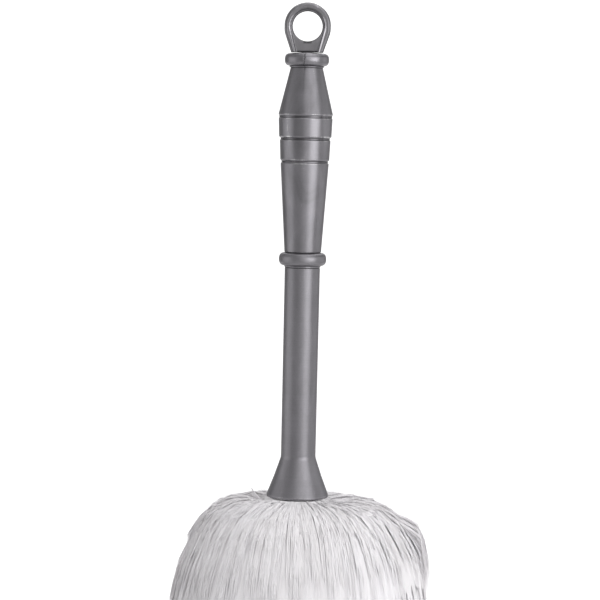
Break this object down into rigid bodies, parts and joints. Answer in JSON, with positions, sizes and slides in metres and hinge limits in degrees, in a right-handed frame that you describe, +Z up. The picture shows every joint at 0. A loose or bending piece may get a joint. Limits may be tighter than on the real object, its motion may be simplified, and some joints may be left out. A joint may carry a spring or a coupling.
{
  "type": "static duster",
  "caption": "Hand duster with a drooping head of white fibre locks on a hollow grey plastic handle, with a swivelling eye to hang it by.",
  "frame": {"origin": "top of the eye's hole, where a hook carries the duster, on the handle's axis", "axes": "+Z up along the handle, from the head towards the eye; the loop's flat faces look along -Y and +Y; +X runs across the loop"},
  "size_m": [0.1732, 0.1745, 0.5937],
  "materials": {
    "grey_plastic": "satin",
    "natural_plastic": "satin",
    "white_plastic": "satin",
    "white_fibre": "matte"
  },
  "bodies": {
    "loop": {"hanging_loop": "grey_plastic"},
    "handle": {"grip": "grey_plastic", "shaft": "grey_plastic", "head_socket": "natural_plastic"},
    "head": {"head_core": "white_plastic", "root_washer": "white_plastic", "tip_cap": "white_plastic", "fringe_turn_01": "white_fibre", "fringe_turn_02": "white_fibre", "fringe_turn_03": "white_fibre", "fringe_turn_04": "white_fibre", "fringe_turn_05": "white_fibre", "fringe_turn_06": "white_fibre", "fringe_turn_07": "white_fibre", "fringe_turn_08": "white_fibre", "fringe_turn_09": "white_fibre", "fringe_turn_10": "white_fibre", "fringe_turn_11": "white_fibre", "fringe_turn_12": "white_fibre", "fringe_turn_13": "white_fibre", "fringe_turn_14": "white_fibre"}
  },
  "joints": [
    {"name": "loop_swivel", "type": "hinge", "parent": "loop", "child": "handle", "pos_m": [0, 0, -0.0245], "axis": [0, 0, 1], "continuous": true},
    {"name": "head_pull", "type": "slide", "parent": "handle", "child": "head", "axis": [0, 0, -1], "range_m": [0, 0.06]}
  ]
}
